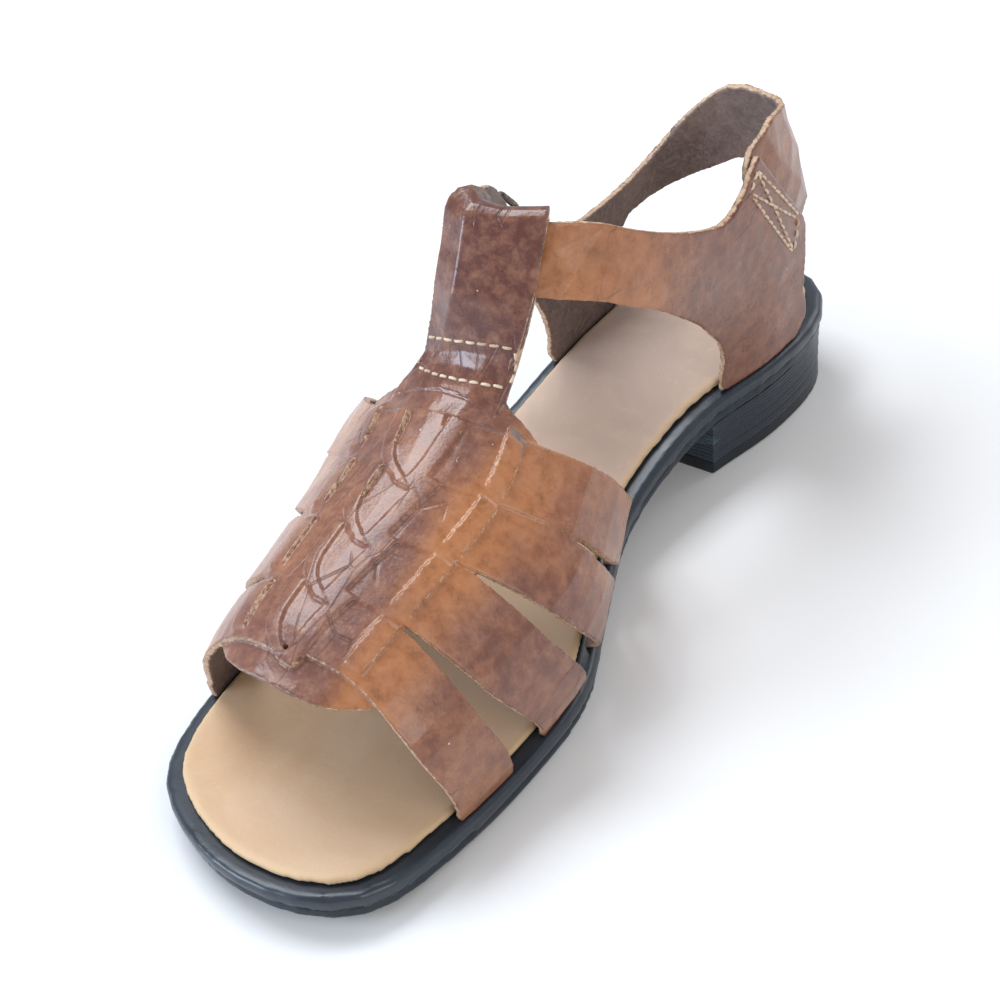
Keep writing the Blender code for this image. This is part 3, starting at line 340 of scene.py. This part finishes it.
def insole_material():
    material, g, shader, place = new_material("insole_leather")
    split = g.add("ShaderNodeSeparateXYZ", {"Vector": place}).outputs
    clouds = g.noise(place, 24.0, 4.0, 0.6, 0.5)
    fine = g.noise(place, 420.0, 5.0, 0.7)
    colour = g.mix(g.ramp(clouds, 0.30, 0.72), (0.640, 0.420, 0.250), (0.700, 0.500, 0.335))
    heelward = g.math("ADD", split["Y"], g.ramp(clouds, 0.3, 0.7, -0.018, 0.018))
    colour = g.mix(g.ramp(heelward, -0.020, 0.045, 0.0, 0.85), colour, (0.560, 0.415, 0.340))
    print_zone = g.math("MULTIPLY", g.ramp(heelward, 0.030, 0.070), g.ramp(clouds, 0.40, 0.66))
    colour = g.mix(g.math("MULTIPLY", print_zone, 0.45), colour, (0.335, 0.250, 0.215))
    ball = g.math("MULTIPLY", g.ramp(split["Y"], -0.085, -0.050),
                  g.ramp(split["Y"], -0.010, -0.045))
    colour = g.mix(g.math("MULTIPLY", ball, g.ramp(clouds, 0.35, 0.7, 0.0, 0.40)), colour,
                   (0.430, 0.285, 0.190))
    colour = g.mix(g.ramp(fine, 0.55, 0.8, 0.0, 0.35), colour, (0.760, 0.600, 0.430))
    pores = g.ramp(g.cells(place, 900.0), 0.16, 0.06, 0.0, 0.30)
    colour = g.mix(pores, colour, (0.30, 0.18, 0.11))
    rim = g.attribute("edge")
    colour = g.mix(g.math("MULTIPLY", rim, 0.75), colour, (0.640, 0.450, 0.260))
    normal = g.bump(clouds, 0.0008, 0.30)
    normal = g.bump(fine, 0.00016, 0.55, normal)
    connect(material, ((colour, shader.inputs["Base Color"]), (normal, shader.inputs["Normal"]),
                       (g.ramp(clouds, 0.3, 0.7, 0.50, 0.66), shader.inputs["Roughness"])))
    shader.inputs["Specular IOR Level"].default_value = 0.35
    return material


def thread_material():
    material, g, shader, place = new_material("cream_thread")
    dirt = g.noise(place, 130.0, 3.0, 0.6)
    twist = g.noise(g.stretched(place, (1.0, 1.0, 2.2)), 1500.0, 2.0)
    colour = g.mix(g.ramp(dirt, 0.40, 0.72), CREAM, (0.500, 0.340, 0.225))
    connect(material, ((colour, shader.inputs["Base Color"]),
                       (g.bump(twist, 0.0002, 0.8), shader.inputs["Normal"])))
    shader.inputs["Roughness"].default_value = 0.75
    shader.inputs["Sheen Weight"].default_value = 0.3
    return material


def metal_material():
    material, g, shader, place = new_material("antique_nickel")
    clouds = g.noise(place, 420.0, 4.0, 0.65)
    colour = g.mix(g.ramp(clouds, 0.35, 0.70), (0.085, 0.075, 0.066), (0.36, 0.34, 0.31))
    connect(material, ((colour, shader.inputs["Base Color"]),
                       (g.ramp(clouds, 0.3, 0.7, 0.42, 0.24), shader.inputs["Roughness"]),
                       (g.bump(clouds, 0.00012, 0.5), shader.inputs["Normal"])))
    shader.inputs["Metallic"].default_value = 1.0
    return material


def floor_material():
    material, g, shader, place = new_material("pale_floor")
    clouds = g.noise(place, 3.0, 2.0)
    colour = g.mix(g.ramp(clouds, 0.3, 0.7), (0.83, 0.83, 0.83), (0.86, 0.86, 0.86))
    connect(material, ((colour, shader.inputs["Base Color"]),))
    shader.inputs["Roughness"].default_value = 0.8
    return material


# Finer skins
def coordinates(mesh):
    flat = np.empty(len(mesh.vertices) * 3)
    mesh.vertices.foreach_get("co", flat)
    return flat.reshape(-1, 3)


def normals(mesh):
    flat = np.empty(len(mesh.vertices) * 3)
    mesh.vertices.foreach_get("normal", flat)
    return flat.reshape(-1, 3)


def edge_pairs(mesh):
    flat = np.empty(len(mesh.edges) * 2, dtype=np.int64)
    mesh.edges.foreach_get("vertices", flat)
    return flat.reshape(-1, 2)


def neighbour_mean(pairs, values):
    count = len(values)
    degree = np.maximum(np.bincount(pairs.ravel(), minlength=count), 1)
    columns = values.reshape(count, -1)
    total = np.stack([
        np.bincount(pairs[:, 0], weights=columns[pairs[:, 1], k], minlength=count)
        + np.bincount(pairs[:, 1], weights=columns[pairs[:, 0], k], minlength=count)
        for k in range(columns.shape[1])
    ], axis=1)
    return (total / degree[:, None]).reshape(values.shape)


def rounded(mesh, passes):
    """Softens a mesh in place without shrinking it."""
    points, pairs = coordinates(mesh), edge_pairs(mesh)
    for step in range(passes):
        for factor in (0.55, -0.57):
            points += factor * (neighbour_mean(pairs, points) - points)
    mesh.vertices.foreach_set("co", points.ravel())
    mesh.update()


def thinned(mesh):
    """The mesh with its flat places simplified, under the most triangles a piece may have."""
    count = 2 * len(mesh.polygons)
    if count <= MOST_TRIANGLES:
        return mesh
    holder = add_object("thinned", mesh)
    decimate = holder.modifiers.new("decimate", "DECIMATE")
    decimate.ratio = MOST_TRIANGLES / count
    graph = bpy.context.evaluated_depsgraph_get()
    simple = bpy.data.meshes.new_from_object(holder.evaluated_get(graph))
    bpy.data.objects.remove(holder)
    return simple


def stand_for(node, name, mesh):
    """Adds a piece that is shown in place of a CAD node."""
    piece = add_object(name, mesh)
    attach(piece, "root")
    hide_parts(node)
    return piece


def finer(node, name, voxel, passes):
    """A fine skin of a CAD node: remeshed, then rounded without shrinking."""
    source = add_object(name + "_source", nodes[node].data.copy())
    weld = source.modifiers.new("weld", "WELD")
    weld.merge_threshold = WELD_DISTANCE
    remesh = source.modifiers.new("remesh", "REMESH")
    remesh.mode = "VOXEL"
    remesh.voxel_size = voxel
    graph = bpy.context.evaluated_depsgraph_get()
    mesh = bpy.data.meshes.new_from_object(source.evaluated_get(graph))
    bpy.data.objects.remove(source)
    mesh.materials.clear()
    rounded(mesh, passes)
    mesh = thinned(mesh)
    mesh.name = name
    mesh.polygons.foreach_set("use_smooth", [True] * len(mesh.polygons))
    return stand_for(node, name, mesh)


def store(mesh, name, values):
    """Keeps a value from 0 to 1 at each vertex for the materials."""
    layer = mesh.attributes.new(name, "FLOAT", "POINT")
    layer.data.foreach_set("value", np.clip(values, 0.0, 1.0).astype(np.float32))


def wall_depth(mesh):
    """How far the solid runs inwards from each vertex."""
    tree = BVHTree.FromPolygons(
        [tuple(v.co) for v in mesh.vertices], [tuple(p.vertices) for p in mesh.polygons])
    depth = np.zeros(len(mesh.vertices))
    for i, vertex in enumerate(mesh.vertices):
        start = vertex.co - vertex.normal * RAY_START
        hit = tree.ray_cast(start, -vertex.normal, RAY_REACH)
        depth[i] = RAY_REACH if hit[0] is None else hit[3]
    return depth, tree


def ripple(points, scale, seed):
    """Smooth noise at each point."""
    return np.array([
        noise.noise(Vector((x * scale + seed, y * scale, z * scale))) for x, y, z in points
    ])


def dress_leather(piece, material, limit, inside, tone, red, wrinkle):
    """Gives a skin its masks, shallow wrinkles and material."""
    mesh = piece.data
    points, facing, pairs = coordinates(mesh), normals(mesh), edge_pairs(mesh)
    depth, tree = wall_depth(mesh)
    edge = (depth > limit(points)).astype(float)
    inner = inside(points, facing)
    for step in range(2):
        edge = neighbour_mean(pairs, edge)
        inner = neighbour_mean(pairs, inner)
    store(mesh, "edge", edge)
    store(mesh, "inner", inner)
    store(mesh, "tone", tone(points))
    store(mesh, "red", red(points))
    bend = 0.7 * ripple(points, 95.0, 3.0) + 0.3 * ripple(points, 260.0, 11.0)
    fray = ripple(points, 700.0, 5.0) * edge
    points += facing * (bend * wrinkle * (1.0 - edge) + fray * 0.00013)[:, None]
    mesh.vertices.foreach_set("co", points.ravel())
    mesh.update()
    mesh.materials.append(material)
    return tree


def vamp_limit(points):
    """Thickest wall at each point that isn't taken for a cut edge."""
    weave = (points[:, 2] > WEAVE_FLOOR) & (points[:, 1] < WEAVE_BACK)
    return np.where(weave, WEAVE_LIMIT, WALL_LIMIT)


def plain_limit(points):
    return np.full(len(points), WALL_LIMIT)


def inside_vamp(points, facing):
    """Faces that look at the foot: towards its long axis, or back up the T strap."""
    to_axis = np.stack([FOOT_AXIS[0] - points[:, 0], FOOT_AXIS[1] - points[:, 2]], axis=1)
    to_axis /= np.linalg.norm(to_axis, axis=1)[:, None]
    looks_in = (facing[:, 0] * to_axis[:, 0] + facing[:, 2] * to_axis[:, 1]) > 0.25
    t_strap = (points[:, 1] > T_STRAP_FRONT) & (points[:, 2] > T_STRAP_FOOT)
    back = t_strap & (facing[:, 1] > 0.25)
    front = t_strap & (facing[:, 1] <= 0.25)
    return ((looks_in & ~front) | back).astype(float)


def inside_quarter(points, facing):
    """Faces that look at the ankle."""
    away = np.stack([points[:, 0] - ANKLE_MIDDLE[0], points[:, 1] - ANKLE_MIDDLE[1]], axis=1)
    away /= np.linalg.norm(away, axis=1)[:, None]
    return ((facing[:, 0] * away[:, 0] + facing[:, 1] * away[:, 1]) < -0.20).astype(float)


def vamp_tone(points):
    """Dark on top of the foot, tan down the straps, darker again at their bends."""
    inner_side = smooth_array((points[:, 0] - 0.013) / 0.010)
    outer_side = 0.55 * smooth_array((-0.016 - points[:, 0]) / 0.016)
    bend = 0.62 * smooth_array((points[:, 0] - 0.029) / 0.010)
    foot = 0.40 * smooth_array((0.022 - points[:, 2]) / 0.010)
    return 0.92 - 0.80 * np.maximum(inner_side, outer_side) + bend - foot


def vamp_red(points):
    """The T strap is redder than the rest."""
    rise = smooth_array((points[:, 1] + 0.028) / 0.022)
    return 0.85 * rise * smooth_array((points[:, 2] - T_STRAP_FOOT) / 0.008)


def inner_tone(points):
    """Tan at the front of the ankle, brown towards the heel."""
    return 0.10 + 0.85 * smooth_array((points[:, 1] - 0.018) / 0.035)


def outer_tone(points):
    return np.full(len(points), 0.72)


def none(points):
    return np.zeros(len(points))


LEATHER_COLOURS = {"Light": TAN, "Dark": PLUM, "Red": RED_BROWN}
QUARTER_COLOURS = {"Light": TAN, "Dark": UMBER, "Red": RED_BROWN}
vamp_leather = grouped_material("woven_leather", LEATHER, LEATHER_COLOURS, 0.55, 0.30)
quarter_leather = grouped_material("strap_leather", LEATHER, QUARTER_COLOURS, 0.55, 0.25)

vamp = finer("vamp", "vamp_skin", VAMP_VOXEL, 2)
vamp_tree = dress_leather(
    vamp, vamp_leather, vamp_limit, inside_vamp, vamp_tone, vamp_red, 0.00016)
quarter_inner = finer("quarter_inner", "quarter_inner_skin", QUARTER_VOXEL, 3)
inner_tree = dress_leather(
    quarter_inner, quarter_leather, plain_limit, inside_quarter, inner_tone, none, 0.00014)
quarter_outer = finer("quarter_outer", "quarter_outer_skin", QUARTER_VOXEL, 3)
dress_leather(
    quarter_outer, quarter_leather, plain_limit, inside_quarter, outer_tone, none, 0.00014)
TREES = {"vamp": vamp_tree, "quarter_inner": inner_tree}


# Sole
def rim_mask(mesh):
    """1 on the raised rim and side of the insole."""
    facing = normals(mesh)
    pairs = edge_pairs(mesh)
    mask = (facing[:, 2] < 0.80).astype(float)
    for step in range(4):
        mask = neighbour_mean(pairs, mask)
    return mask * 1.6


insole = finer("insole", "insole_skin", SOLE_VOXEL, 3)
store(insole.data, "edge", rim_mask(insole.data))
insole.data.materials.append(insole_material())

midsole_rubber = grouped_material(
    "midsole_rubber", RUBBER, {"Base": (0.008, 0.016, 0.028), "Wear_and_highlight": (0.14, 0.25, 0.36)},
    0.6, 0.25)
outsole_rubber = grouped_material(
    "outsole_rubber", RUBBER, {"Base": (0.010, 0.016, 0.024), "Wear_and_highlight": (0.08, 0.13, 0.18)}, 0.45)
heel_rubber = grouped_material(
    "stacked_heel", RUBBER, {"Base": (0.009, 0.016, 0.026), "Wear_and_highlight": (0.12, 0.20, 0.28)},
    0.5, 0.1, stacked_lines)
top_piece_rubber = grouped_material(
    "heel_top_rubber", RUBBER, {"Base": (0.010, 0.012, 0.015), "Wear_and_highlight": (0.06, 0.08, 0.10)}, 0.4)
midsole = finer("midsole", "midsole_skin", SOLE_VOXEL, 3)
midsole.data.materials.append(midsole_rubber)
outsole = finer("outsole", "outsole_skin", SOLE_VOXEL, 2)
outsole.data.materials.append(outsole_rubber)


def restated(node, name, material, angle, bevel):
    """A copy of a CAD node with its edges rounded."""
    mesh = nodes[node].data.copy()
    mesh.name = name
    mesh.materials.clear()
    mesh.materials.append(material)
    bm = bmesh.new()
    bm.from_mesh(mesh)
    bmesh.ops.remove_doubles(bm, verts=bm.verts, dist=WELD_DISTANCE)
    bm.to_mesh(mesh)
    bm.free()
    mesh.polygons.foreach_set("use_smooth", [True] * len(mesh.polygons))
    mesh.set_sharp_from_angle(angle=math.radians(angle))
    piece = stand_for(node, name, mesh)
    rounding = piece.modifiers.new("rounding", "BEVEL")
    rounding.width = bevel
    rounding.segments = 2
    rounding.limit_method = "ANGLE"
    rounding.angle_limit = math.radians(angle)


restated("heel_block", "heel_block_skin", heel_rubber, 35.0, 0.00012)
restated("heel_top_piece", "heel_top_skin", top_piece_rubber, 35.0, 0.00040)
metal = metal_material()
restated("buckle_frame", "buckle_frame_skin", metal, 60.0, 0.00008)
restated("buckle_prong", "buckle_prong_skin", metal, 60.0, 0.00008)


# Stitching
def sight(pixel):
    """Direction from the photograph's camera through one of its pixels."""
    across, down = (pixel[0] - 500.0) / FOCAL, (pixel[1] - 500.0) / FOCAL
    return (AHEAD + RIGHT * across + DOWN * down).normalized()


def on_skin(tree, pixel):
    spot, normal, index, distance = tree.ray_cast(EYE, sight(pixel))
    return None if spot is None else (spot, normal)


def stitch_into(bm, start, end, normal):
    """One stitch: a thread that rises from the leather and dips into it again."""
    along = end - start
    side = along.cross(normal).normalized()
    last = None
    for i in range(STITCH_RINGS):
        share = i / (STITCH_RINGS - 1)
        arch = math.sin(math.pi * share) ** 0.6 if 0.0 < share < 1.0 else 0.0
        middle = start + along * share + normal * (THREAD_RADIUS * (1.15 * arch - 0.55))
        thick = THREAD_RADIUS * (0.72 + 0.28 * arch)
        ring = []
        for k in range(STITCH_SIDES):
            turn = 2.0 * math.pi * k / STITCH_SIDES
            ring.append(bm.verts.new(
                middle + side * thick * math.cos(turn) + normal * thick * math.sin(turn)))
        if last:
            for k in range(STITCH_SIDES):
                j = (k + 1) % STITCH_SIDES
                bm.faces.new((last[k], last[j], ring[j], ring[k]))
        else:
            bm.faces.new(ring[::-1])
        last = ring
    bm.faces.new(last)


def make_stitching():
    """Rows of stitches on the skins, under the pixels of STITCH_ROWS."""
    bm = bmesh.new()
    for owner, pixels in STITCH_ROWS:
        tree = TREES[owner]
        spots = []
        for a, b in zip(pixels, pixels[1:]):
            for i in range(STITCH_RAYS):
                share = i / STITCH_RAYS
                pixel = (a[0] + (b[0] - a[0]) * share, a[1] + (b[1] - a[1]) * share)
                found = on_skin(tree, pixel)
                if found:
                    spots.append(found)
        found = on_skin(tree, pixels[-1])
        if found:
            spots.append(found)
        lengths = [0.0]
        for p, q in zip(spots, spots[1:]):
            lengths.append(lengths[-1] + (q[0] - p[0]).length)
        whole = lengths[-1]
        count = max(1, round(whole / (STITCH_LENGTH + STITCH_GAP)))
        pitch = whole / count

        def at(distance):
            index = min(max(np.searchsorted(lengths, distance) - 1, 0), len(spots) - 2)
            run = max(lengths[index + 1] - lengths[index], 1e-9)
            share = (distance - lengths[index]) / run
            return spots[index][0].lerp(spots[index + 1][0], share), spots[index][1]

        for i in range(count):
            low = i * pitch + 0.5 * STITCH_GAP
            high = (i + 1) * pitch - 0.5 * STITCH_GAP
            (start, normal), (end, other) = at(low), at(high)
            jog = normal.cross(end - start).normalized() * random.uniform(-STITCH_JOG, STITCH_JOG)
            stitch_into(bm, start + jog, end - jog, (normal + other).normalized())
    bmesh.ops.recalc_face_normals(bm, faces=bm.faces)
    mesh = bpy.data.meshes.new("stitching")
    bm.to_mesh(mesh)
    bm.free()
    mesh.polygons.foreach_set("use_smooth", [True] * len(mesh.polygons))
    mesh.materials.append(thread_material())
    piece = add_object("stitching", mesh)
    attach(piece, "root")


make_stitching()


# Floor, light and camera
def make_floor():
    bm = bmesh.new()
    bmesh.ops.create_grid(bm, x_segments=8, y_segments=8, size=FLOOR_SIZE)
    mesh = bpy.data.meshes.new("floor")
    bm.to_mesh(mesh)
    bm.free()
    mesh.materials.append(floor_material())
    add_object("floor", mesh)


def area_light(name, place, target, size, power, colour):
    data = bpy.data.lights.new(name, "AREA")
    data.shape = "RECTANGLE"
    data.size, data.size_y = size
    data.energy = power
    data.color = colour
    light = bpy.data.objects.new(name, data)
    bpy.context.scene.collection.objects.link(light)
    light.location = place
    light.rotation_euler = (Vector(target) - Vector(place)).to_track_quat("-Z", "Y").to_euler()


def make_lights():
    middle = (0.0, 0.0, 0.06)
    area_light("window", (-0.80, -1.05, 0.46), middle, (0.75, 0.55), 13.0, (0.70, 0.83, 1.0))
    area_light("overhead", (-0.55, 0.15, 1.15), middle, (0.8, 0.6), 11.0, (0.90, 0.95, 1.0))
    area_light("side", (1.05, -0.35, 0.75), middle, (0.8, 0.8), 5.0, (1.0, 0.96, 0.90))
    area_light("back", (0.25, 1.15, 0.80), middle, (0.9, 0.6), 4.0, (0.95, 0.97, 1.0))
    world = bpy.data.worlds.new("studio")
    world.use_nodes = True
    back = world.node_tree.nodes["Background"]
    back.inputs["Color"].default_value = (0.93, 0.95, 1.0, 1.0)
    back.inputs["Strength"].default_value = 0.50
    bpy.context.scene.world = world


def make_camera():
    data = bpy.data.cameras.new("camera")
    data.sensor_width = 36.0
    data.lens = CAMERA_LENS
    data.clip_start = 0.02
    camera = bpy.data.objects.new("camera", data)
    bpy.context.scene.collection.objects.link(camera)
    back = -sight(FRAME_MIDDLE)
    across = RIGHT - back * RIGHT.dot(back)
    across.normalize()
    up = back.cross(across)
    turn = Matrix((across, up, back)).transposed().to_4x4()
    camera.matrix_world = Matrix.Translation(EYE) @ turn
    bpy.context.scene.camera = camera


make_floor()
make_lights()
make_camera()
bpy.context.scene.view_settings.view_transform = "Standard"
